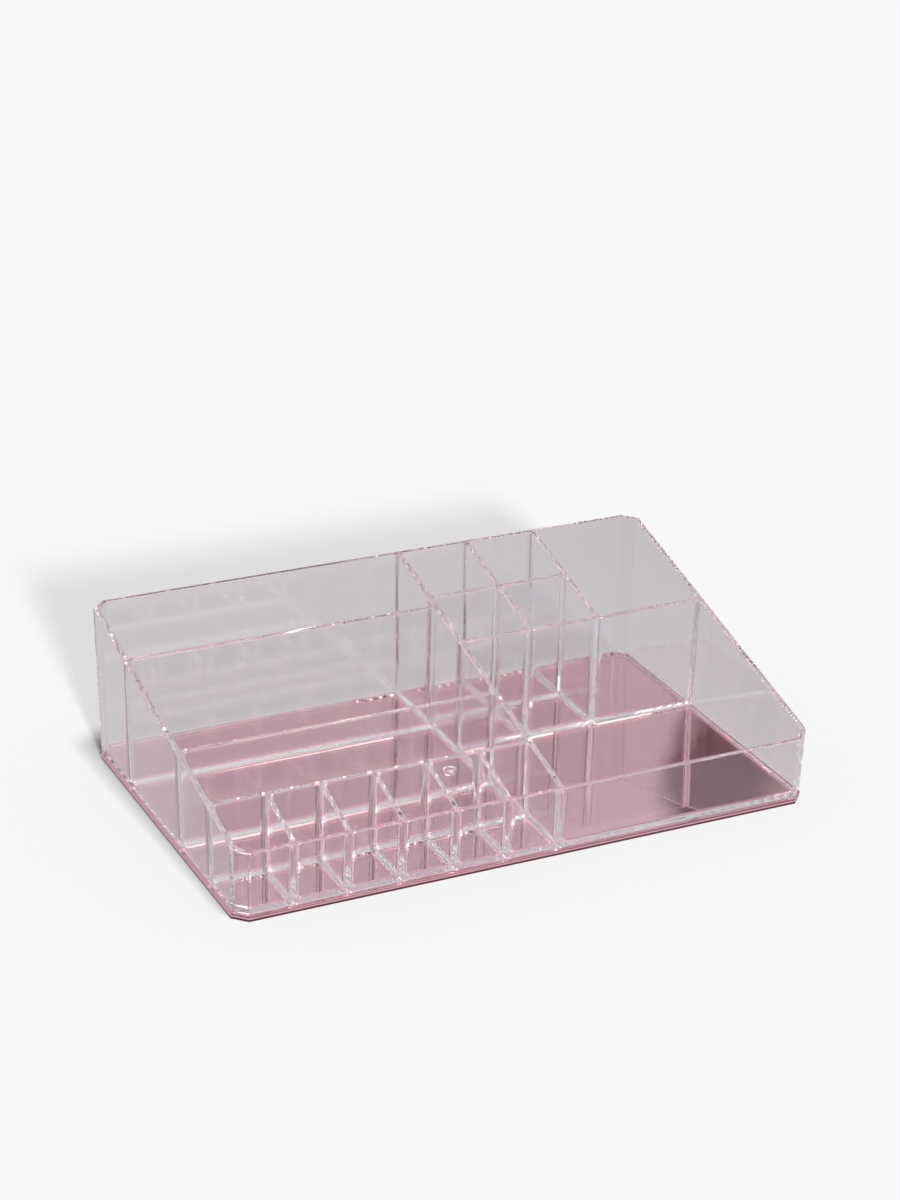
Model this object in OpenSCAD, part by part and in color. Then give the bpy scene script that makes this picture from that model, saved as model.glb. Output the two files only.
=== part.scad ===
// Vanity organizer: a clear chamfered tray, divided into fifteen compartments, on a pink mirrored base plate.
// Millimetres. +X is to the right, +Y to the rear and +Z up, with the origin under the middle of the base plate.

/* [Tray] */
// Width of the tray over its rear rim
rim_w = 300; // [260:1:340]
// Depth of the tray over its rear rim
rim_d = 185.4; // [165:0.2:215]
// Height of the tray from its underside to the rear rim
tray_h = 78; // [64:0.5:100]
// Height of the tray from its underside to the front rim
front_h = 31.9; // [26:0.1:40]
// Thickness of the outer walls
wall = 2.8; // [2:0.1:3.6]
// Thickness of the floor
floor_t = 2.4; // [1.8:0.1:3.2]
// How far each outer wall leans out between the underside and the rear rim
lean = 2.2; // [1:0.1:3.4]
// Leg of the chamfer on each upright corner, at the rear rim
corner_cut = 7.4; // [6.8:0.1:12]
// Leg of the bevel along the bottom edge of the tray
foot_bevel = 1.6; // [0.8:0.1:2]

/* [Rim] */
// Depth of the short steep run of the rim behind the front wall
nose_run = 7.6; // [5:0.1:12]
// Height that the short steep run gains
nose_rise = 2.8; // [2.2:0.1:4]

/* [Dividers] */
// Thickness of the main divider, which runs from front to rear
main_t = 2.8; // [2:0.1:3.6]
// Thickness of every other divider
divider_t = 2.4; // [1.6:0.1:3]

/* [Left side] */
// Number of lipstick slots in the front row
slot_count = 6; // [5:1:6]
// Clear width of one lipstick slot
slot_w = 24.2; // [20:0.1:26]
// Clear depth of the lipstick slots
slot_d = 29.4; // [24:0.1:34]
// Clear depth of the compartment behind the slots
middle_d = 33.8; // [26:0.1:38]
// Clear depth of the large compartment behind that one
long_d = 63.9; // [54:0.1:68]

/* [Right side] */
// Clear width of the small square cells
cell_w = 35.4; // [28:0.1:39]
// Clear depth of the rear row of cells
rear_cell_d = 34.1; // [28:0.1:40]
// Clear depth of the front row of cells
front_cell_d = 32.7; // [26:0.1:40]

/* [Base plate] */
// Thickness of the mirrored base plate
plate_t = 2.5; // [1.8:0.1:4]
// How far the base plate stands out past the foot of the outer walls
plate_lip = 0.4; // [0.2:0.1:1.2]
// Thickness of the dark backing under the mirror, which is set in a little
backing_t = 0.7; // [0.4:0.1:0.9]
// How far the backing is set in from the edge of the plate
backing_set_in = 0.4; // [0.2:0.1:0.8]

/* [Hidden] */
SLOT_DIVIDERS = [for (i = [1:slot_count - 1]) str("slot_divider_", i)];

// Colours of the clear plastic and of the mirrored plate
clear = [0.80, 0.79, 0.81, 0.45];
rose = [0.78, 0.52, 0.58];

// Heights above the table
tray_z = plate_t;
floor_z = tray_z + floor_t;
front_rim_z = tray_z + front_h;
rear_rim_z = tray_z + tray_h;

// Half sizes of the outline at the rear rim and at the underside of the tray
rim_x = rim_w / 2;
rim_y = rim_d / 2;
foot_x = rim_x - lean;
foot_y = rim_y - lean;

// An outline that is set in by some distance has a chamfer whose leg is shorter by this share of it
leg_share = 2 - sqrt(2);

// How far an outer face at some height lies inside the rear rim
function set_in(z) = lean * (rear_rim_z - z) / tray_h;

// Inner faces of the outer walls where they meet the floor
floor_x = rim_x - set_in(floor_z) - wall;
floor_y = rim_y - set_in(floor_z) - wall;

// Middle planes of the dividers on the left, from the left wall and the front wall
slots_w = slot_count * slot_w + (slot_count - 1) * divider_t;
main_x = -floor_x + slots_w + main_t / 2;
slot_row_y = -floor_y + slot_d + divider_t / 2;
middle_y = slot_row_y + middle_d + divider_t;
rear_y = middle_y + long_d + divider_t;

// Middle planes of the dividers on the right, from the main divider and the back wall
left_cell_x = main_x + main_t / 2 + cell_w + divider_t / 2;
right_cell_x = left_cell_x + cell_w + divider_t;
cross_y = floor_y - rear_cell_d - divider_t / 2;
right_tray_y = cross_y - front_cell_d - divider_t;

// Faces of the main divider
main_left = main_x - main_t / 2;
main_right = main_x + main_t / 2;

// Where the rim starts to climb, ends its short steep run and reaches its full height
front_inner_y = -(rim_y - set_in(front_rim_z)) + wall;
nose_y = front_inner_y + nose_run;
nose_z = front_rim_z + nose_rise;
slope_end_y = rim_y - corner_cut;

// Overrun of every cut, and a length past all of the tray
over = 2;
reach = rim_w + rim_d;

// Upright panel with a given outline over Y and Z, across the whole width
module across_x(outline) {
    translate([-reach / 2, 0, 0]) rotate([90, 0, 90]) linear_extrude(height = reach) polygon(outline);
}

// Upright panel with a given outline over X and Z, through the whole depth
module across_y(outline) {
    translate([0, reach / 2, 0]) rotate([90, 0, 0]) linear_extrude(height = reach) polygon(outline);
}

// Leaning outline of half width half at the rear rim, from z0 to z1, with its lower corners bevelled
function leaning(half, z0, z1, bevel) = [
    [-half + set_in(z0) + bevel, z0],
    [half - set_in(z0) - bevel, z0],
    [half - set_in(z0 + bevel), z0 + bevel],
    [half - set_in(z1), z1],
    [-half + set_in(z1), z1],
    [-half + set_in(z0 + bevel), z0 + bevel]
];

// Half distance between two opposite chamfer faces of an outline set in by some distance
function across_corners(inset) = (rim_x + rim_y - corner_cut) / sqrt(2) - inset;

// Solid between the eight leaning faces, set in by some distance from the outer faces
module leaning_block(inset, z0, z1, bevel) {
    diagonal = leaning(across_corners(inset), z0, z1, bevel);
    intersection() {
        across_x(leaning(rim_y - inset, z0, z1, bevel));
        across_y(leaning(rim_x - inset, z0, z1, bevel));
        rotate([0, 0, 45]) across_y(diagonal);
        rotate([0, 0, -45]) across_y(diagonal);
    }
}

// Everything under the rim: level at the front and rear, with a short steep run and a long slope between
module under_rim() {
    across_x([
        [-reach, 0],
        [reach, 0],
        [reach, rear_rim_z],
        [slope_end_y, rear_rim_z],
        [nose_y, nose_z],
        [front_inner_y, front_rim_z],
        [-reach, front_rim_z]
    ]);
}

// Solid outer form of the tray above its floor
module outer_form() {
    intersection() {
        leaning_block(0, floor_z, rear_rim_z, 0);
        under_rim();
    }
}

// Space inside the outer walls, open at the top
module cavity() {
    leaning_block(wall, floor_z, rear_rim_z, 0);
}

// Part of the outer walls inside a box given by its lowest and highest corners in plan
module outer_wall(low, high) {
    intersection() {
        difference() {
            outer_form();
            leaning_block(wall, floor_z - over, rear_rim_z + over, 0);
        }
        translate([low[0], low[1], 0]) cube([high[0] - low[0], high[1] - low[1], rear_rim_z + over]);
    }
}

// Divider inside the walls and under the rim, between two corners in plan
module divider(low, high) {
    intersection() {
        cavity();
        under_rim();
        translate([low[0], low[1], floor_z]) cube([high[0] - low[0], high[1] - low[1], tray_h]);
    }
}

// Divider along Y in the plane x, and along X in the plane y
module along_y(x, y0, y1, t = divider_t) {
    divider([x - t / 2, y0], [x + t / 2, y1]);
}

module along_x(y, x0, x1, t = divider_t) {
    divider([x0, y - t / 2], [x1, y + t / 2]);
}

// Planes that part the corners from the walls
part_x = rim_x - corner_cut - lean / 2;
part_y = rim_y - corner_cut - lean / 2;

// Eight-sided outline with half sizes half_x and half_y and a chamfer leg
module chamfered_outline(half_x, half_y, leg) {
    polygon([
        [-half_x + leg, -half_y], [half_x - leg, -half_y],
        [half_x, -half_y + leg], [half_x, half_y - leg],
        [half_x - leg, half_y], [-half_x + leg, half_y],
        [-half_x, half_y - leg], [-half_x, -half_y + leg]
    ]);
}

// Layer of the base plate, set in by some distance from its edge
module plate_layer(inset, z0, z1) {
    leg = corner_cut - (lean - plate_lip + inset) * leg_share;
    translate([0, 0, z0]) linear_extrude(height = z1 - z0)
        chamfered_outline(foot_x + plate_lip - inset, foot_y + plate_lip - inset, leg);
}

module base_plate() {
    color(rose) {
        plate_layer(0, backing_t, plate_t);
        plate_layer(backing_set_in, 0, backing_t);
    }
}

module tray_floor() {
    color(clear) leaning_block(0, tray_z, floor_z, foot_bevel);
}

module back_wall() {
    color(clear) outer_wall([-part_x, part_y], [part_x, reach]);
}

module front_wall() {
    color(clear) outer_wall([-part_x, -reach], [part_x, -part_y]);
}

module left_wall() {
    color(clear) outer_wall([-reach, -part_y], [-part_x, part_y]);
}

module right_wall() {
    color(clear) outer_wall([part_x, -part_y], [reach, part_y]);
}

module rear_left_corner() {
    color(clear) outer_wall([-reach, part_y], [-part_x, reach]);
}

module rear_right_corner() {
    color(clear) outer_wall([part_x, part_y], [reach, reach]);
}

module front_left_corner() {
    color(clear) outer_wall([-reach, -reach], [-part_x, -part_y]);
}

module front_right_corner() {
    color(clear) outer_wall([part_x, -reach], [reach, -part_y]);
}

module main_divider() {
    color(clear) along_y(main_x, -reach, reach, main_t);
}

module rear_tray_divider() {
    color(clear) along_x(rear_y, -reach, main_left);
}

module middle_tray_divider() {
    color(clear) along_x(middle_y, -reach, main_left);
}

module slot_row_divider() {
    color(clear) along_x(slot_row_y, -reach, main_left);
}

module left_cell_divider() {
    color(clear) along_y(left_cell_x, right_tray_y + divider_t / 2, reach);
}

module right_cell_divider() {
    color(clear) along_y(right_cell_x, right_tray_y + divider_t / 2, reach);
}

module left_cell_cross() {
    color(clear) along_x(cross_y, main_right, left_cell_x - divider_t / 2);
}

module right_cell_cross() {
    color(clear) along_x(cross_y, left_cell_x + divider_t / 2, right_cell_x - divider_t / 2);
}

module right_tray_divider() {
    color(clear) along_x(right_tray_y, main_right, reach);
}

// Divider between two lipstick slots, counted from the left wall
module slot_divider(i) {
    x = -floor_x + i * (slot_w + divider_t) - divider_t / 2;
    color(clear) along_y(x, -reach, slot_row_y - divider_t / 2);
}

base_plate();
tray_floor();
back_wall();
front_wall();
left_wall();
right_wall();
rear_left_corner();
rear_right_corner();
front_left_corner();
front_right_corner();
main_divider();
rear_tray_divider();
middle_tray_divider();
slot_row_divider();
left_cell_divider();
right_cell_divider();
left_cell_cross();
right_cell_cross();
right_tray_divider();
for (i = [1:slot_count - 1]) slot_divider(i);
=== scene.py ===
import math

import bmesh
import bpy
from bpy.props import FloatProperty, FloatVectorProperty, IntProperty, PointerProperty
from bpy.types import Operator, Panel, PropertyGroup
from mathutils import Matrix, Vector


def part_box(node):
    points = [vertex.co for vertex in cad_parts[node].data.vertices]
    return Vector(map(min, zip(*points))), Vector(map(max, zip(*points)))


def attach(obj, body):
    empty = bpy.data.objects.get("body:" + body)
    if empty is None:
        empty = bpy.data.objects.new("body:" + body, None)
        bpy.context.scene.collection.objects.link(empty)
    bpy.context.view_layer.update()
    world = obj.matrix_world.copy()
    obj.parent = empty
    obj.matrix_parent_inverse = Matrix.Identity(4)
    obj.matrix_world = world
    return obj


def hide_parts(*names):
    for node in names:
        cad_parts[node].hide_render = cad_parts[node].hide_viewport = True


bl_info = {
    "name": "Vanity Organizer",
    "version": (1, 0, 0),
    "blender": (4, 5, 0),
    "location": "3D View > Sidebar > Organizer",
    "description": "Clear tray with fifteen compartments on a pink mirrored base plate",
    "category": "Add Mesh",
}

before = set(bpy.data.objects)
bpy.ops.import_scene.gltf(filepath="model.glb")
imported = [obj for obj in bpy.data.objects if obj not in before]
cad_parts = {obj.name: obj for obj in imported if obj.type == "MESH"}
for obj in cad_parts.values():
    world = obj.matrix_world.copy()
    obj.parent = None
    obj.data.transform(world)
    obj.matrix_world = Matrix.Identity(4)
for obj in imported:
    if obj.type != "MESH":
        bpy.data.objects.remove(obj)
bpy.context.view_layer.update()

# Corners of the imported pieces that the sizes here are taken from
REAR_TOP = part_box("back_wall")[1]
RIGHT_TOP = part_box("right_wall")[1]
FRONT_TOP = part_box("front_wall")[1]
FLOOR_LOW, FLOOR_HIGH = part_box("tray_floor")
PLATE_LOW, PLATE_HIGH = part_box("base_plate")

SLOT_DIVIDERS = sorted(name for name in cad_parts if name.startswith("slot_divider_"))
CLEAR_NODES = sorted(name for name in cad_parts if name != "base_plate")

SQUARE = math.pi / 2

# Turns of the surface past which an upright edge is a square corner, or belongs to a chamfered one
SQUARE_TURN = SQUARE * 0.75
CHAMFER_TURN = SQUARE * 0.4

# Turn past which shading breaks at an edge, and turn below which two faces count as one flat face
SHARP_TURN = math.radians(40)
FLAT_TURN = math.radians(0.5)

# Cosine past which an edge counts as upright and a face as facing up
NEARLY_UP = 0.9

# Distances: thickness of a cut, difference that two equal heights may have, and reach of a merge
CUT_REACH = 1e-7
SAME_HEIGHT = 1e-6
MERGE_REACH = 1e-5

# How far the floor lies under the base plate, so that no two faces coincide
UNDER_PLATE = 0.0001

# The floor that shows in the finishes darkens to the right: X where that starts and ends, and the share left
DIM_START = 0.05
DIM_END = 0.35
DIM_SHARE = 0.87

# Z of a direction, at which the backdrop starts to turn into the overhead light, and ends
OVERHEAD_START = math.sin(math.radians(52))
OVERHEAD_END = math.sin(math.radians(64))

# Y of a direction, at which the backdrop starts to turn into the dark side behind the camera, and ends
DARK_START = 0.5
DARK_END = -0.05

# A line of sight crosses the faces of many walls, one behind the other
BOUNCES = 200

# Soft cards round the object. In degrees: turn from the rear towards the right, height, how far from its
# middle the card shows in full, and where it ends. Then its colour.
CARDS = (
    (150, 42, 9, 12, (2.3, 2.2, 1.85)),
    (-5, 58, 9, 16, (7.0, 6.1, 6.6)),
    (190, 36, 8, 14, (4.0, 3.5, 3.8)),
    (36.5, 27.5, 3.9, 4.7, (0.08, 0.035, 0.045)),
    (36.4, 22, 4.0, 5.8, (0.16, 0.12, 0.13)),
    (36.5, 14, 4.5, 6, (0.10, 0.07, 0.09)),
    (35.1, 28.0, 0.3, 1.7, (0.34, 0.31, 0.31)),
)


class TraySizes(PropertyGroup):
    """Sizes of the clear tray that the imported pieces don't give"""
    wall: FloatProperty(
        name="Wall", description="Thickness of the outer walls", default=0.0028, unit="LENGTH")
    corner_cut: FloatProperty(
        name="Corner cut", description="Leg of the chamfer on each upright corner, at the rear rim",
        default=0.0074, unit="LENGTH")
    level_rim: FloatProperty(
        name="Level rim", description="Depth of the level part of the rim at the rear",
        default=0.0066, unit="LENGTH")
    nose_start: FloatProperty(
        name="Nose start", description="How far behind the front wall the rim starts to climb",
        default=0.0004, unit="LENGTH")
    nose_run: FloatProperty(
        name="Nose run", description="Depth of the short steep run of the rim behind the front wall",
        default=0.0072, unit="LENGTH")
    nose_rise: FloatProperty(
        name="Nose rise", description="Height that the short steep run gains",
        default=0.0028, unit="LENGTH")
    fillet: FloatProperty(
        name="Fillet", description="Radius inside a compartment where two upright walls meet square",
        default=0.0023, unit="LENGTH")
    chamfer_fillet: FloatProperty(
        name="Chamfer fillet", description="Radius inside a compartment along the edges of a chamfer",
        default=0.0006, unit="LENGTH")
    foot_fillet: FloatProperty(
        name="Foot fillet", description="Radius inside a compartment where a wall meets the floor",
        default=0.0021, unit="LENGTH")
    foot_bevel: FloatProperty(
        name="Foot bevel", description="Leg of the bevel along the lower outer edge",
        default=0.0016, unit="LENGTH")
    corner_round: FloatProperty(
        name="Corner rounding", description="Radius along the outer upright edges and the foot bevel",
        default=0.0009, unit="LENGTH")
    rim_round: FloatProperty(
        name="Rim rounding", description="Radius along both edges of every rim",
        default=0.0005, unit="LENGTH")
    seat_gap: FloatProperty(
        name="Seat gap", description="Film of air between the tray and the mirrored plate",
        default=0.00006, unit="LENGTH")
    gate_inner: FloatProperty(
        name="Gate nub", description="Radius of the nub that the moulding gate left in the floor",
        default=0.0017, unit="LENGTH")
    gate_outer: FloatProperty(
        name="Gate dimple", description="Radius of the dimple round the gate nub",
        default=0.0035, unit="LENGTH")
    gate_depth: FloatProperty(
        name="Gate depth", description="Depth of the dimple round the gate nub",
        default=0.0006, unit="LENGTH")
    arc_steps: IntProperty(
        name="Arc steps", description="Facets of each square fillet", default=6, min=2)
    edge_steps: IntProperty(
        name="Edge steps", description="Facets of each small rounded edge", default=4, min=2)


class PlateSizes(PropertyGroup):
    """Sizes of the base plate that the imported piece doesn't give"""
    backing: FloatProperty(
        name="Backing", description="Thickness of the dark backing", default=0.00095, unit="LENGTH")
    backing_set_in: FloatProperty(
        name="Backing set-in", description="How far the backing is set in from the edge of the plate",
        default=0.00015, unit="LENGTH")
    edge_round: FloatProperty(
        name="Edge rounding", description="Bevel along the edges of the plate",
        default=0.00015, unit="LENGTH")
    groove_low: FloatProperty(
        name="Groove height", description="Height of the fine groove round the edge",
        default=0.002, unit="LENGTH")
    groove_width: FloatProperty(
        name="Groove width", description="Width of the fine groove", default=0.00028, unit="LENGTH")
    groove_depth: FloatProperty(
        name="Groove depth", description="Depth of the fine groove", default=0.0006, unit="LENGTH")


class Finishes(PropertyGroup):
    """Colours of the plastic, the mirror and its backing, whose dark colour is also painted shade under the
    plate's edge
    """
    clear: FloatVectorProperty(
        name="Clear plastic", description="Tint of the clear plastic", subtype="COLOR",
        default=(0.992, 0.989, 0.994))
    bend: FloatProperty(name="Refraction", description="Refractive index of the plastic", default=1.55)
    rose: FloatVectorProperty(
        name="Rose mirror", description="Colour of the mirrored plate", subtype="COLOR",
        default=(0.95, 0.58, 0.655))
    # Dark backing colour: partly the real backing lacquer, partly painted shade along the underside of the
    # plate's edge
    dark_backing_and_shade: FloatVectorProperty(
        name="Backing", description="Colour of the dark backing", subtype="COLOR",
        default=(0.060, 0.008, 0.018))


class StudioSettings(PropertyGroup):
    """Camera, lamps and surroundings"""
    camera_place: FloatVectorProperty(
        name="Camera", description="Place of the camera", subtype="TRANSLATION", unit="LENGTH",
        default=(-0.56354, -1.12063, 0.65151))
    camera_aim: FloatVectorProperty(
        name="Aim", description="Point in the middle of the picture", subtype="TRANSLATION", unit="LENGTH",
        default=(0.06336, 0.12986, 0.030))
    camera_roll: FloatProperty(
        name="Roll", description="Turn of the camera about its own axis", subtype="ANGLE",
        default=math.radians(1.654))
    lens: FloatProperty(name="Lens", description="Focal length in millimetres", default=86.84)
    page: FloatVectorProperty(
        name="Page", description="Pale floor and backdrop", subtype="COLOR", default=(0.939, 0.939, 0.939))
    backdrop: FloatVectorProperty(
        name="Seen through", description="Grey that shows through plastic and in the mirror", subtype="COLOR",
        default=(0.610, 0.588, 0.606))
    dark_side: FloatVectorProperty(
        name="Dark side", description="Darker side behind the camera, which shows in the walls",
        subtype="COLOR", default=(0.10, 0.09, 0.105))
    overhead: FloatVectorProperty(
        name="Overhead", description="Cooler light from high up, which shows in rounded edges",
        subtype="COLOR", default=(0.70, 0.74, 0.80))
    fill: FloatProperty(
        name="Fill", description="Share of the light that comes from all round", default=0.16)
    top: FloatProperty(
        name="Top light", description="Share of the light from high up", default=0.62)
    top_height: FloatProperty(
        name="Top height", description="Height of the top light over the front horizon", subtype="ANGLE",
        default=math.radians(78))
    top_size: FloatProperty(
        name="Top size", description="Angle that the top light spans", subtype="ANGLE",
        default=math.radians(14))
    key: FloatProperty(
        name="Key", description="Share of the light from the lamp that casts the shadow", default=0.22)
    key_height: FloatProperty(
        name="Key height", description="Height of the key lamp over the horizon", subtype="ANGLE",
        default=math.radians(20))
    key_turn: FloatProperty(
        name="Key turn", description="Turn of the key lamp from the front to the left", subtype="ANGLE",
        default=math.radians(9.5))
    key_size: FloatProperty(
        name="Key size", description="Angle that the key lamp spans", subtype="ANGLE",
        default=math.radians(6))
    floor_reach: FloatProperty(
        name="Floor", description="Half size of the floor", default=12.0, unit="LENGTH")


def tray_height():
    """Height of the tray from its underside to the rear rim."""
    return REAR_TOP.z - FLOOR_LOW.z


def lean():
    """How far each outer wall leans out over the height of the tray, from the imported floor."""
    rise = REAR_TOP.z - FLOOR_HIGH.z
    return (RIGHT_TOP.x - FLOOR_HIGH.x) * tray_height() / rise


def edges_in(geometry):
    """The edges among what a bmesh operator returns."""
    return [part for part in geometry if isinstance(part, bmesh.types.BMEdge)]


def cut_to_faces(bm, half_x, half_y, leg, height, slope):
    """Cuts a solid to eight upright faces, which lean by slope.

    The half sizes and the leg of the chamfer hold at some height."""
    diagonal = (half_x + half_y - leg) / math.sqrt(2)
    for eighth in range(8):
        turn = eighth * math.pi / 4
        reach = (half_x, diagonal, half_y, diagonal)[eighth % 4]
        found = bmesh.ops.bisect_plane(
            bm, geom=bm.verts[:] + bm.edges[:] + bm.faces[:], dist=CUT_REACH, clear_outer=True,
            plane_co=(math.cos(turn) * reach, math.sin(turn) * reach, height),
            plane_no=(math.cos(turn), math.sin(turn), -slope))
        rim = edges_in(found["geom_cut"])
        if rim:
            bmesh.ops.edgeloop_fill(bm, edges=rim)
    bmesh.ops.recalc_face_normals(bm, faces=bm.faces[:])


def cut_to_tray(bm, inset):
    """Cuts a solid to the tray's leaning outer faces, set in by some distance."""
    tray = bpy.context.scene.organizer_tray
    leg = tray.corner_cut - inset * (2 - math.sqrt(2))
    slope = lean() / tray_height()
    cut_to_faces(bm, RIGHT_TOP.x - inset, REAR_TOP.y - inset, leg, REAR_TOP.z, slope)


def upright(edge):
    """True for an edge that runs up the tray."""
    line = edge.verts[1].co - edge.verts[0].co
    return abs(line.normalized().z) > NEARLY_UP


def run_down(edge):
    """An upright edge, and the edges that carry it on down over the foot."""
    run = [edge]
    while run:
        end = min(run[-1].verts, key=lambda v: v.co.z)
        below = [e for e in end.link_edges if e.other_vert(end).co.z < end.co.z - SAME_HEIGHT]
        if not below:
            break
        run.append(below[0])
    return run


def bevel_edges(bm, edges, offset, steps):
    """Bevels edges in some steps, by an offset that is measured along the faces."""
    bmesh.ops.bevel(
        bm, geom=edges, offset=offset, offset_type="OFFSET", affect="EDGES", segments=steps, profile=0.5,
        material=-1, clamp_overlap=False)


def round_edges(bm, edges, turn, radius, steps):
    """Rounds edges at which the surface turns by some angle."""
    bevel_edges(bm, edges, radius * math.tan(turn / 2), steps)


def foot_loop(bm, z):
    """The edge loop that lies at height z."""
    return [e for e in bm.edges if all(abs(v.co.z - z) < SAME_HEIGHT for v in e.verts)]


def rim_profile():
    """Line of the rim from front to rear, as Y and Z.

    It is level at both ends, and has a short steep run behind the front wall."""
    tray = bpy.context.scene.organizer_tray
    over = REAR_TOP.x + REAR_TOP.y
    set_in = lean() * (REAR_TOP.z - FRONT_TOP.z) / tray_height()
    nose_foot = -(REAR_TOP.y - set_in) + tray.wall + tray.nose_start
    return (
        (-over, FRONT_TOP.z),
        (nose_foot, FRONT_TOP.z),
        (nose_foot + tray.nose_run, FRONT_TOP.z + tray.nose_rise),
        (REAR_TOP.y - tray.level_rim, REAR_TOP.z),
        (over, REAR_TOP.z),
    )


def rim_height(y):
    """Height of the rim at some depth."""
    line = rim_profile()
    for (y0, z0), (y1, z1) in zip(line, line[1:]):
        if y <= y1:
            return z0 + (z1 - z0) * (y - y0) / (y1 - y0)
    raise ValueError("no rim so far back")


def tray_block():
    """Solid outer form of the tray under its rim."""
    tray = bpy.context.scene.organizer_tray
    low = FLOOR_LOW.z + tray.seat_gap
    line = rim_profile()
    over = line[-1][0]
    profile = ((over, low), (-over, low), *line)
    bm = bmesh.new()
    side = bm.faces.new([bm.verts.new((-over, y, z)) for y, z in profile])
    grown = bmesh.ops.extrude_face_region(bm, geom=[side])
    moved = [v for v in grown["geom"] if isinstance(v, bmesh.types.BMVert)]
    bmesh.ops.translate(bm, verts=moved, vec=(2 * over, 0, 0))
    cut_to_tray(bm, 0)
    bevel_edges(bm, foot_loop(bm, low), tray.foot_bevel, 1)
    lower = [e for e in bm.edges if min(v.co.z for v in e.verts) < FRONT_TOP.z / 2]
    round_edges(bm, lower, SQUARE / 2, tray.corner_round, tray.edge_steps)
    return bm


def between(left, right, front, rear):
    """Plan of the space between four dividers: the lowest and highest corner. None is the tray's own wall."""
    over = REAR_TOP.x + REAR_TOP.y
    return (
        (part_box(left)[1].x if left else -over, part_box(front)[1].y if front else -over),
        (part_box(right)[0].x if right else over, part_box(rear)[0].y if rear else over),
    )


def compartments():
    """Plans of all fifteen compartments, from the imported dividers."""
    plans = [between(None, "main_divider", "rear_tray_divider", None)]
    plans.append(between(None, "main_divider", "middle_tray_divider", "rear_tray_divider"))
    plans.append(between(None, "main_divider", "slot_row_divider", "middle_tray_divider"))
    across = [None, *SLOT_DIVIDERS, "main_divider"]
    for left, right in zip(across, across[1:]):
        plans.append(between(left, right, None, "slot_row_divider"))
    cells = (("main_divider", "left_cell_divider", "left_cell_cross"),
             ("left_cell_divider", "right_cell_divider", "right_cell_cross"))
    for left, right, cross in cells:
        plans.append(between(left, right, "right_tray_divider", cross))
        plans.append(between(left, right, cross, None))
    plans.append(between("right_cell_divider", None, "right_tray_divider", None))
    plans.append(between("main_divider", None, None, "right_tray_divider"))
    return plans


def compartment_core(plan):
    """Core that leaves one compartment: its corners and foot are rounded, and it stands out past the rim."""
    tray = bpy.context.scene.organizer_tray
    (x0, y0), (x1, y1) = plan
    z0 = FLOOR_HIGH.z
    z1 = REAR_TOP.z + tray_height() / 2
    bm = bmesh.new()
    bmesh.ops.create_cube(bm, size=1)
    bmesh.ops.scale(bm, verts=bm.verts[:], vec=(x1 - x0, y1 - y0, z1 - z0))
    bmesh.ops.translate(bm, verts=bm.verts[:], vec=((x0 + x1) / 2, (y0 + y1) / 2, (z0 + z1) / 2))
    cut_to_tray(bm, tray.wall)
    square = [e for e in bm.edges if upright(e) and e.calc_face_angle() > SQUARE_TURN]
    round_edges(bm, square, SQUARE, tray.fillet, tray.arc_steps)
    round_edges(bm, foot_loop(bm, z0), SQUARE, tray.foot_fillet, tray.arc_steps)
    chamfered = [e for e in bm.edges if upright(e) and e.calc_face_angle() > CHAMFER_TURN]
    runs = dict.fromkeys(part for edge in chamfered for part in run_down(edge))
    if runs:
        round_edges(bm, list(runs), SQUARE / 2, tray.chamfer_fillet, tray.edge_steps)
    return bm


def gate_core():
    """Ring that leaves a dimple with a nub in the middle of the floor, where the plastic was let in."""
    tray = bpy.context.scene.organizer_tray
    middle = (tray.gate_inner + tray.gate_outer) / 2
    half = (tray.gate_outer - tray.gate_inner) / 2
    steps = 4 * tray.arc_steps
    bm = bmesh.new()
    ring = bmesh.ops.create_circle(bm, segments=2 * tray.arc_steps, radius=1)
    bmesh.ops.scale(bm, verts=ring["verts"], vec=(half, tray.gate_depth, 1))
    bmesh.ops.rotate(bm, verts=ring["verts"], cent=(0, 0, 0), matrix=Matrix.Rotation(SQUARE, 3, "X"))
    bmesh.ops.translate(bm, verts=ring["verts"], vec=(middle, 0, FLOOR_HIGH.z))
    bmesh.ops.spin(
        bm, geom=bm.verts[:] + bm.edges[:], cent=(0, 0, 0), axis=(0, 0, 1), angle=2 * math.pi, steps=steps,
        use_merge=True)
    bmesh.ops.recalc_face_normals(bm, faces=bm.faces[:])
    return bm


def new_piece(name, mesh=None):
    """Object at the origin that shows a mesh, or an empty mesh of its own."""
    piece = bpy.data.objects.new(name, mesh or bpy.data.meshes.new(name))
    bpy.context.scene.collection.objects.link(piece)
    return piece


def add_to(piece, bm):
    """Adds a bmesh to the mesh of a piece and frees it."""
    bm.from_mesh(piece.data)
    bm.to_mesh(piece.data)
    bm.free()


def cut_out(block, cores):
    """Takes each core out of the block in turn, and returns what is left as a mesh."""
    for core in cores:
        cut = block.modifiers.new(core.name, "BOOLEAN")
        cut.operation = "DIFFERENCE"
        cut.solver = "EXACT"
        cut.object = core
    bpy.context.view_layer.update()
    made = block.evaluated_get(bpy.context.evaluated_depsgraph_get())
    mesh = bpy.data.meshes.new_from_object(made)
    block.modifiers.clear()
    return mesh


def rim_faces(bm):
    """The level and sloping faces on top of every wall."""
    lowest = FRONT_TOP.z - MERGE_REACH
    return [f for f in bm.faces if f.normal.z > NEARLY_UP and min(v.co.z for v in f.verts) > lowest]


def verts_of(faces):
    """Vertices of some faces, each once."""
    return list(dict.fromkeys(v for f in faces for v in f.verts))


def edges_of(faces):
    """Edges of some faces, each once."""
    return list(dict.fromkeys(e for f in faces for e in f.edges))


def join_flat(bm, verts, edges):
    """Joins faces that lie in one plane."""
    bmesh.ops.dissolve_limit(
        bm, angle_limit=FLAT_TURN, verts=verts, edges=edges, use_dissolve_boundaries=False)


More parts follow.
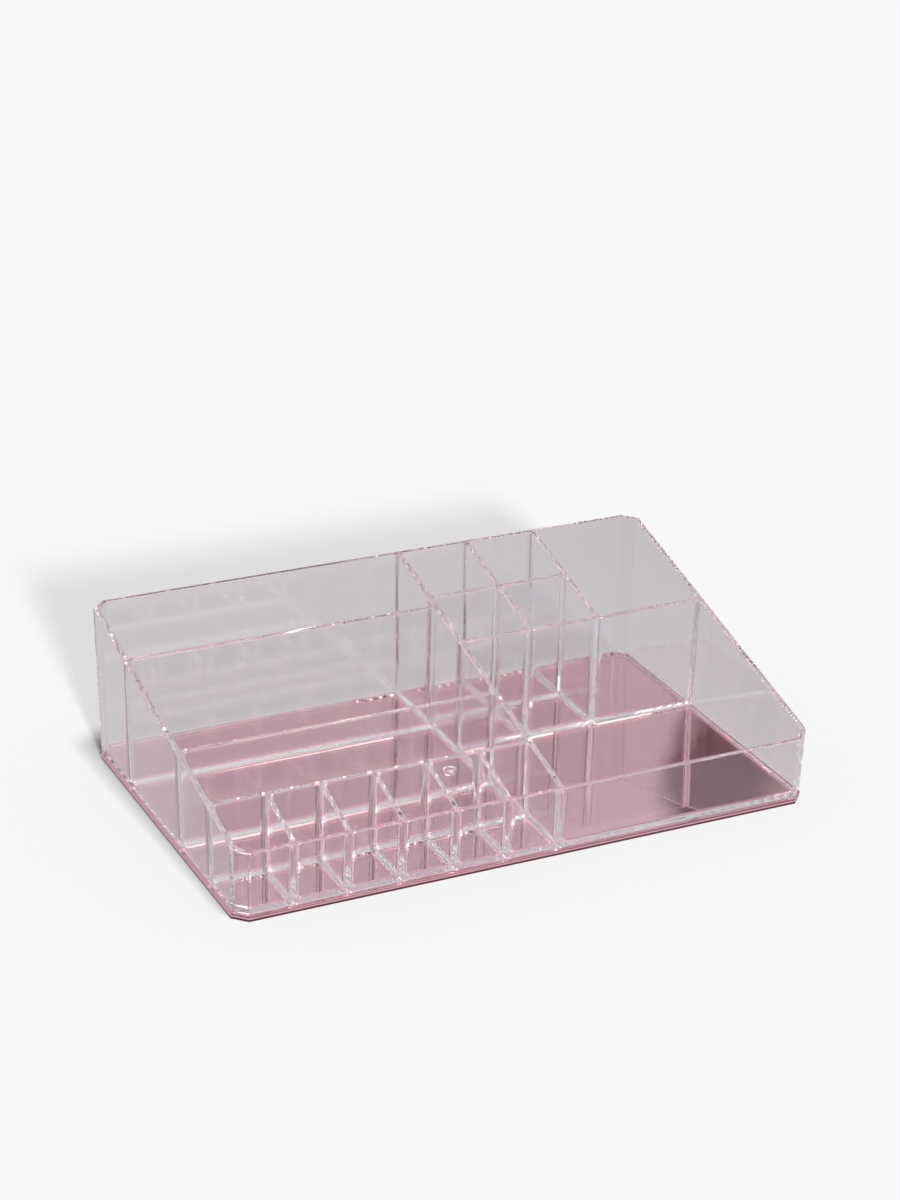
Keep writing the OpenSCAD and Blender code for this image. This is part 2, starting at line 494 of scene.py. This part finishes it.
def round_rims(mesh):
    """Rounds both edges of every rim.

    The tops of the walls are laid flat and inset in rings, and then each vertex goes back to the line of the
    rim, lower by what its ring has dropped."""
    tray = bpy.context.scene.organizer_tray
    bm = bmesh.new()
    bm.from_mesh(mesh)
    bmesh.ops.remove_doubles(bm, verts=bm.verts[:], dist=MERGE_REACH)
    join_flat(bm, bm.verts[:], bm.edges[:])
    drop = bm.verts.layers.float.new("drop")
    for vert in verts_of(rim_faces(bm)):
        vert.co.z = REAR_TOP.z
        vert[drop] = tray.rim_round
    bm.normal_update()
    top = rim_faces(bm)
    join_flat(bm, [], [e for e in edges_of(top) if all(near in top for near in e.link_faces)])
    top = rim_faces(bm)
    laid = list(top)
    for step in range(tray.edge_steps):
        turn = SQUARE * step / tray.edge_steps
        turned = SQUARE * (step + 1) / tray.edge_steps
        laid += bmesh.ops.inset_region(
            bm, faces=top, thickness=tray.rim_round * (math.cos(turn) - math.cos(turned)), use_boundary=True,
            use_even_offset=True)["faces"]
        for vert in verts_of(top):
            vert[drop] = tray.rim_round * (1 - math.sin(turned))
    for y, z in rim_profile()[1:-1]:
        cut = bmesh.ops.bisect_plane(
            bm, geom=laid + edges_of(laid) + verts_of(laid), dist=SAME_HEIGHT, plane_co=(0, y, 0),
            plane_no=(0, 1, 0))
        laid = [part for part in cut["geom"] if isinstance(part, bmesh.types.BMFace)]
    for vert in verts_of(laid):
        vert.co.z = rim_height(vert.co.y) - vert[drop]
    bm.verts.layers.float.remove(drop)
    bm.normal_update()
    bm.to_mesh(mesh)
    bm.free()


def finish_shading(piece):
    """Smooth shading that keeps flat faces flat, because the large face wins where a rounded edge ends."""
    mesh = piece.data
    mesh.polygons.foreach_set("use_smooth", [True] * len(mesh.polygons))
    mesh.set_sharp_from_angle(angle=SHARP_TURN)
    flat = piece.modifiers.new("Flat faces", "WEIGHTED_NORMAL")
    flat.weight = 100
    flat.keep_sharp = True


def link(tree, source, target):
    """Links an output to an input."""
    tree.links.new(source, target)


def feed(tree, value, target):
    """Gives an input another node's output, a number or a colour."""
    if isinstance(value, bpy.types.NodeSocket):
        link(tree, value, target)
    elif isinstance(value, tuple):
        target.default_value = (*value, 1)
    else:
        target.default_value = value


def math_node(tree, operation, first, second, clamp=False):
    """Math node of two outputs or numbers. Returns its output."""
    node = tree.nodes.new("ShaderNodeMath")
    node.operation = operation
    node.use_clamp = clamp
    feed(tree, first, node.inputs[0])
    feed(tree, second, node.inputs[1])
    return node.outputs[0]


def map_range(tree, value, low, high, out_low=0.0, out_high=1.0, kind="SMOOTHSTEP"):
    """Map Range node. Returns its output."""
    node = tree.nodes.new("ShaderNodeMapRange")
    node.interpolation_type = kind
    link(tree, value, node.inputs["Value"])
    for name, number in (("From Min", low), ("From Max", high), ("To Min", out_low), ("To Max", out_high)):
        node.inputs[name].default_value = number
    return node.outputs["Result"]


def blend_colours(tree, share, first, second):
    """Mix of two colours, each an output or three numbers. Returns its output."""
    node = tree.nodes.new("ShaderNodeMix")
    node.data_type = "RGBA"
    feed(tree, share, node.inputs["Factor"])
    feed(tree, first, node.inputs[6])
    feed(tree, second, node.inputs[7])
    return node.outputs[2]


def noise(tree, scale, detail, roughness):
    """Noise over the object's own coordinates. Returns its value."""
    node = tree.nodes.new("ShaderNodeTexNoise")
    node.inputs["Detail"].default_value = detail
    node.inputs["Roughness"].default_value = roughness
    link(tree, tree.nodes.new("ShaderNodeTexCoord").outputs["Object"], node.inputs["Vector"])
    link(tree, scale, node.inputs["Scale"])
    return node.outputs["Fac"]


def surface_wear_group():
    """Group that all finishes use: slow ripple of a moulded or rolled face, and fine rubbed patches."""
    found = bpy.data.node_groups.get("surface_wear")
    if found:
        return found
    group = bpy.data.node_groups.new("surface_wear", "ShaderNodeTree")
    for name, start in (("Ripple Scale", 60), ("Rub Scale", 400)):
        socket = group.interface.new_socket(name, in_out="INPUT", socket_type="NodeSocketFloat")
        socket.default_value = start
    for name in ("Ripple", "Rubbed"):
        group.interface.new_socket(name, in_out="OUTPUT", socket_type="NodeSocketFloat")
    given = group.nodes.new("NodeGroupInput")
    result = group.nodes.new("NodeGroupOutput")
    ripple = noise(group, given.outputs["Ripple Scale"], detail=1, roughness=0.5)
    fine = noise(group, given.outputs["Rub Scale"], detail=4, roughness=0.7)
    link(group, ripple, result.inputs["Ripple"])
    link(group, map_range(group, fine, low=0.45, high=0.75), result.inputs["Rubbed"])
    return group


def new_material(name):
    """Material with nothing but an output. Returns it, its tree and the socket for its surface."""
    made = bpy.data.materials.new(name)
    made.use_nodes = True
    tree = made.node_tree
    tree.nodes.clear()
    return made, tree, tree.nodes.new("ShaderNodeOutputMaterial").inputs["Surface"]


def worn_finish(name, colour, rubbed, roughness, scales, bump):
    """Finish with a slow ripple and fine rubbed patches. Returns it and its Principled shader.

    A rubbed patch has its own share of the colour. roughness is that of the clean and of the rubbed face,
    scales are those of the ripple and of the rubbing, and bump is the strength and height of the ripple."""
    made, tree, surface = new_material(name)
    shader = tree.nodes.new("ShaderNodeBsdfPrincipled")
    link(tree, shader.outputs["BSDF"], surface)
    wear = tree.nodes.new("ShaderNodeGroup")
    wear.node_tree = surface_wear_group()
    wear.inputs["Ripple Scale"].default_value = scales[0]
    wear.inputs["Rub Scale"].default_value = scales[1]
    worn = tuple(min(1, share * rubbed) for share in colour)
    tint = blend_colours(tree, wear.outputs["Rubbed"], tuple(colour), worn)
    link(tree, tint, shader.inputs["Base Color"])
    rough = map_range(tree, wear.outputs["Rubbed"], 0, 1, *roughness, kind="LINEAR")
    link(tree, rough, shader.inputs["Roughness"])
    ripple = tree.nodes.new("ShaderNodeBump")
    ripple.inputs["Strength"].default_value = bump[0]
    ripple.inputs["Distance"].default_value = bump[1]
    link(tree, wear.outputs["Ripple"], ripple.inputs["Height"])
    link(tree, ripple.outputs["Normal"], shader.inputs["Normal"])
    return made, shader


def clear_plastic():
    """Crystal-clear moulded plastic, with a slow flow ripple and faint rubbed patches."""
    finish = bpy.context.scene.organizer_finish
    made, shader = worn_finish(
        "clear_plastic", finish.clear, rubbed=0.985, roughness=(0, 0.012), scales=(28, 500),
        bump=(0.01, 0.001))
    shader.inputs["Transmission Weight"].default_value = 1
    shader.inputs["IOR"].default_value = finish.bend
    return made


def rose_mirror():
    """Pink mirrored acrylic: a metal with a slight sheet ripple and fine rubbed patches."""
    finish = bpy.context.scene.organizer_finish
    made, shader = worn_finish(
        "rose_mirror", finish.rose, rubbed=0.96, roughness=(0.02, 0.06), scales=(45, 900),
        bump=(0.05, 0.001))
    shader.inputs["Metallic"].default_value = 1
    return made


def backing_lacquer_and_painted_shade():
    """Dark wine-red backing lacquer, satin, with fine rubbed patches. Its very dark colour is partly painted
    shade: it also stands for the shade along the underside of the plate's edge.
    """
    finish = bpy.context.scene.organizer_finish
    made, shader = worn_finish(
        "backing_lacquer_and_painted_shade", finish.dark_backing_and_shade, rubbed=1.6, roughness=(0.35, 0.5), scales=(80, 1200),
        bump=(0.1, 0.0005))
    return made


class ORGANIZER_OT_clear_tray(Operator):
    """Make the clear tray: one moulding with fifteen compartments, which stands for all the clear panels"""
    bl_idname = "organizer.clear_tray"
    bl_label = "Clear tray"

    def execute(self, context):
        block = new_piece("tray_block")
        add_to(block, tray_block())
        cores = new_piece("tray_cores")
        for plan in compartments():
            add_to(cores, compartment_core(plan))
        gate = new_piece("gate_core")
        add_to(gate, gate_core())
        mesh = cut_out(block, (cores, gate))
        for scratch in (block, cores, gate):
            bpy.data.meshes.remove(scratch.data)
        round_rims(mesh)
        mesh.name = "clear_tray"
        tray = new_piece("clear_tray", mesh)
        finish_shading(tray)
        tray.data.materials.clear()
        tray.data.materials.append(clear_plastic())
        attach(tray, "root")
        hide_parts(*CLEAR_NODES)
        return {"FINISHED"}


def chamfered_ring(bm, inset, z):
    """Eight-sided loop of edges at height z, set in from the outline of the base plate."""
    tray = bpy.context.scene.organizer_tray
    half_x = PLATE_HIGH.x - inset
    half_y = PLATE_HIGH.y - inset
    leg = tray.corner_cut - (REAR_TOP.y - half_y) * (2 - math.sqrt(2))
    corners = []
    for quarter in range(4):
        turn = Matrix.Rotation(quarter * SQUARE, 2)
        sides = (half_x, half_y) if quarter % 2 == 0 else (half_y, half_x)
        for back in ((0, leg), (leg, 0)):
            corner = turn @ Vector((sides[0] - back[0], sides[1] - back[1]))
            corners.append(bm.verts.new((*corner, z)))
    return [bm.edges.new((a, b)) for a, b in zip(corners, corners[1:] + corners[:1])]


def stacked_rings(name, rings):
    """Closed solid through chamfered rings, each given as an inset and a height."""
    bm = bmesh.new()
    loops = [chamfered_ring(bm, inset, z) for inset, z in rings]
    for low, high in zip(loops, loops[1:]):
        bmesh.ops.bridge_loops(bm, edges=low + high)
    for end in (loops[0], loops[-1]):
        bmesh.ops.edgeloop_fill(bm, edges=end)
    bmesh.ops.recalc_face_normals(bm, faces=bm.faces[:])
    piece = new_piece(name)
    add_to(piece, bm)
    return piece


class ORGANIZER_OT_base_plate(Operator):
    """Make the pink mirrored base plate and the dark backing under it, whose colour is also painted shade
    under the plate's edge
    """
    bl_idname = "organizer.base_plate"
    bl_label = "Base plate"

    def execute(self, context):
        sizes = context.scene.organizer_plate
        edge = sizes.edge_round
        top = PLATE_HIGH.z
        groove_top = sizes.groove_low + sizes.groove_width
        plate = stacked_rings("mirror_plate", (
            (edge, sizes.backing),
            (0, sizes.backing + edge),
            (0, sizes.groove_low),
            (sizes.groove_depth, sizes.groove_low),
            (sizes.groove_depth, groove_top),
            (0, groove_top),
            (0, top - edge),
            (edge, top),
        ))
        plate.data.materials.append(rose_mirror())
        # The backing's dark colour is partly painted shade along the underside of the plate's edge
        backing = stacked_rings("plate_backing_and_shade", (
            (sizes.backing_set_in + edge, PLATE_LOW.z),
            (sizes.backing_set_in, PLATE_LOW.z + edge),
            (sizes.backing_set_in, sizes.backing),
        ))
        backing.data.materials.append(backing_lacquer_and_painted_shade())
        for piece in (plate, backing):
            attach(piece, "root")
            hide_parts("base_plate")
        return {"FINISHED"}


def direction(turn, height):
    """Unit vector to a turn from +Y towards +X and a height over the horizon, both in degrees."""
    turn, height = math.radians(turn), math.radians(height)
    return (math.sin(turn) * math.cos(height), math.cos(turn) * math.cos(height), math.sin(height))


def met_finish(tree, path):
    """1 for a ray that has just met the mirror or the plastic, and 0 for others."""
    return math_node(tree, "MAXIMUM", path.outputs["Is Glossy Ray"], path.outputs["Is Transmission Ray"])


def seen_by_finish(tree, path):
    """1 for what shows in the mirror or through the plastic to the camera, and 0 for light."""
    bounced = math_node(tree, "MINIMUM", path.outputs["Diffuse Depth"], 1)
    return math_node(tree, "SUBTRACT", met_finish(tree, path), bounced, clamp=True)


def studio_world():
    """World that lights evenly, shows the page to the camera and a studio to the plastic and the mirror."""
    settings = bpy.context.scene.organizer_studio
    world = bpy.data.worlds.new("studio")
    bpy.context.scene.world = world
    world.use_nodes = True
    world.cycles.sampling_method = "NONE"
    tree = world.node_tree
    tree.nodes.clear()
    path = tree.nodes.new("ShaderNodeLightPath")
    ray = tree.nodes.new("ShaderNodeTexCoord").outputs["Generated"]
    split = tree.nodes.new("ShaderNodeSeparateXYZ")
    link(tree, ray, split.inputs[0])
    rise = map_range(tree, split.outputs["Z"], OVERHEAD_START, OVERHEAD_END)
    behind = map_range(tree, split.outputs["Y"], DARK_START, DARK_END)
    around = blend_colours(tree, behind, tuple(settings.backdrop), tuple(settings.dark_side))
    colour = blend_colours(tree, rise, around, tuple(settings.overhead))
    for turn, height, inner, outer, shade in CARDS:
        facing = tree.nodes.new("ShaderNodeVectorMath")
        facing.operation = "DOT_PRODUCT"
        link(tree, ray, facing.inputs[0])
        facing.inputs[1].default_value = direction(turn, height)
        mask = map_range(
            tree, facing.outputs["Value"], math.cos(math.radians(outer)), math.cos(math.radians(inner)))
        colour = blend_colours(tree, mask, colour, shade)
    lit = blend_colours(tree, seen_by_finish(tree, path), (settings.fill,) * 3, colour)
    shown = blend_colours(tree, path.outputs["Is Camera Ray"], lit, tuple(settings.page))
    background = tree.nodes.new("ShaderNodeBackground")
    link(tree, shown, background.inputs["Color"])
    output = tree.nodes.new("ShaderNodeOutputWorld")
    link(tree, background.outputs["Background"], output.inputs["Surface"])


def floor_material():
    """Pale floor that keeps the shadow, and looks grey through the plastic and in the mirror."""
    settings = bpy.context.scene.organizer_studio
    made, tree, surface = new_material("pale_floor")
    path = tree.nodes.new("ShaderNodeLightPath")
    diffuse = tree.nodes.new("ShaderNodeBsdfDiffuse")
    diffuse.inputs["Color"].default_value = (*settings.page, 1)
    glow = tree.nodes.new("ShaderNodeEmission")
    place = tree.nodes.new("ShaderNodeSeparateXYZ")
    link(tree, tree.nodes.new("ShaderNodeTexCoord").outputs["Object"], place.inputs[0])
    right = map_range(tree, place.outputs["X"], DIM_START, DIM_END)
    dimmed = tuple(share * DIM_SHARE for share in settings.backdrop)
    behind = blend_colours(tree, right, tuple(settings.backdrop), dimmed)
    shade = blend_colours(tree, seen_by_finish(tree, path), tuple(settings.page), behind)
    link(tree, shade, glow.inputs["Color"])
    mix = tree.nodes.new("ShaderNodeMixShader")
    link(tree, met_finish(tree, path), mix.inputs["Fac"])
    link(tree, diffuse.outputs["BSDF"], mix.inputs[1])
    link(tree, glow.outputs["Emission"], mix.inputs[2])
    link(tree, mix.outputs["Shader"], surface)
    return made


def add_camera():
    """Camera at the photograph's angle."""
    settings = bpy.context.scene.organizer_studio
    lens = bpy.data.cameras.new("camera")
    lens.lens = settings.lens
    lens.clip_start = 0.05
    lens.clip_end = 100
    camera = bpy.data.objects.new("camera", lens)
    bpy.context.scene.collection.objects.link(camera)
    place = Vector(settings.camera_place)
    ahead = Vector(settings.camera_aim) - place
    level = ahead.to_track_quat("-Z", "Y").to_matrix()
    rolled = level @ Matrix.Rotation(settings.camera_roll, 3, "Z")
    camera.matrix_world = Matrix.Translation(place) @ rolled.to_4x4()
    bpy.context.scene.camera = camera


def add_sun(name, share, height, turn, size):
    """Lamp that gives a share of the light on the floor, and only shows there and in its shadow."""
    sun = bpy.data.lights.new(name, "SUN")
    sun.angle = size
    sun.energy = share * math.pi / math.sin(height)
    lamp = bpy.data.objects.new(name, sun)
    bpy.context.scene.collection.objects.link(lamp)
    lamp.rotation_euler = (SQUARE - height, 0, -turn)
    lamp.visible_glossy = False
    lamp.visible_transmission = False


class ORGANIZER_OT_studio(Operator):
    """Make the pale floor, the plain soft light and the camera"""
    bl_idname = "organizer.studio"
    bl_label = "Studio"

    def execute(self, context):
        settings = context.scene.organizer_studio
        bm = bmesh.new()
        bmesh.ops.create_grid(bm, x_segments=1, y_segments=1, size=settings.floor_reach)
        bmesh.ops.translate(bm, verts=bm.verts[:], vec=(0, 0, PLATE_LOW.z - UNDER_PLATE))
        floor = new_piece("floor")
        add_to(floor, bm)
        floor.data.materials.append(floor_material())
        studio_world()
        add_sun("top", settings.top, settings.top_height, 0, settings.top_size)
        add_sun("key", settings.key, settings.key_height, settings.key_turn, settings.key_size)
        add_camera()
        context.scene.view_settings.view_transform = "Standard"
        context.scene.cycles.max_bounces = BOUNCES
        context.scene.cycles.transmission_bounces = BOUNCES
        context.scene.cycles.glossy_bounces = BOUNCES
        return {"FINISHED"}


class ORGANIZER_PT_panel(Panel):
    """Buttons and sizes of the organizer in the sidebar"""
    bl_idname = "ORGANIZER_PT_panel"
    bl_label = "Vanity organizer"
    bl_space_type = "VIEW_3D"
    bl_region_type = "UI"
    bl_category = "Organizer"

    def draw(self, context):
        for operator in OPERATORS:
            self.layout.operator(operator.bl_idname)
        for name in GROUPS:
            values = getattr(context.scene, name)
            box = self.layout.box()
            for value in values.bl_rna.properties:
                if value.identifier not in ("rna_type", "name"):
                    box.prop(values, value.identifier)


GROUPS = {
    "organizer_tray": TraySizes,
    "organizer_plate": PlateSizes,
    "organizer_finish": Finishes,
    "organizer_studio": StudioSettings,
}
OPERATORS = (ORGANIZER_OT_clear_tray, ORGANIZER_OT_base_plate, ORGANIZER_OT_studio)
CLASSES = (*GROUPS.values(), *OPERATORS, ORGANIZER_PT_panel)


def register():
    """Registers the classes, and gives the scene their sizes and colours."""
    for entry in CLASSES:
        bpy.utils.register_class(entry)
    for name, group in GROUPS.items():
        setattr(bpy.types.Scene, name, PointerProperty(type=group))


def unregister():
    """Takes back what register gave."""
    for name in GROUPS:
        delattr(bpy.types.Scene, name)
    for entry in reversed(CLASSES):
        bpy.utils.unregister_class(entry)


def main():
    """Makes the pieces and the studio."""
    register()
    bpy.ops.organizer.clear_tray()
    bpy.ops.organizer.base_plate()
    bpy.ops.organizer.studio()


if __name__ == "__main__":
    main()
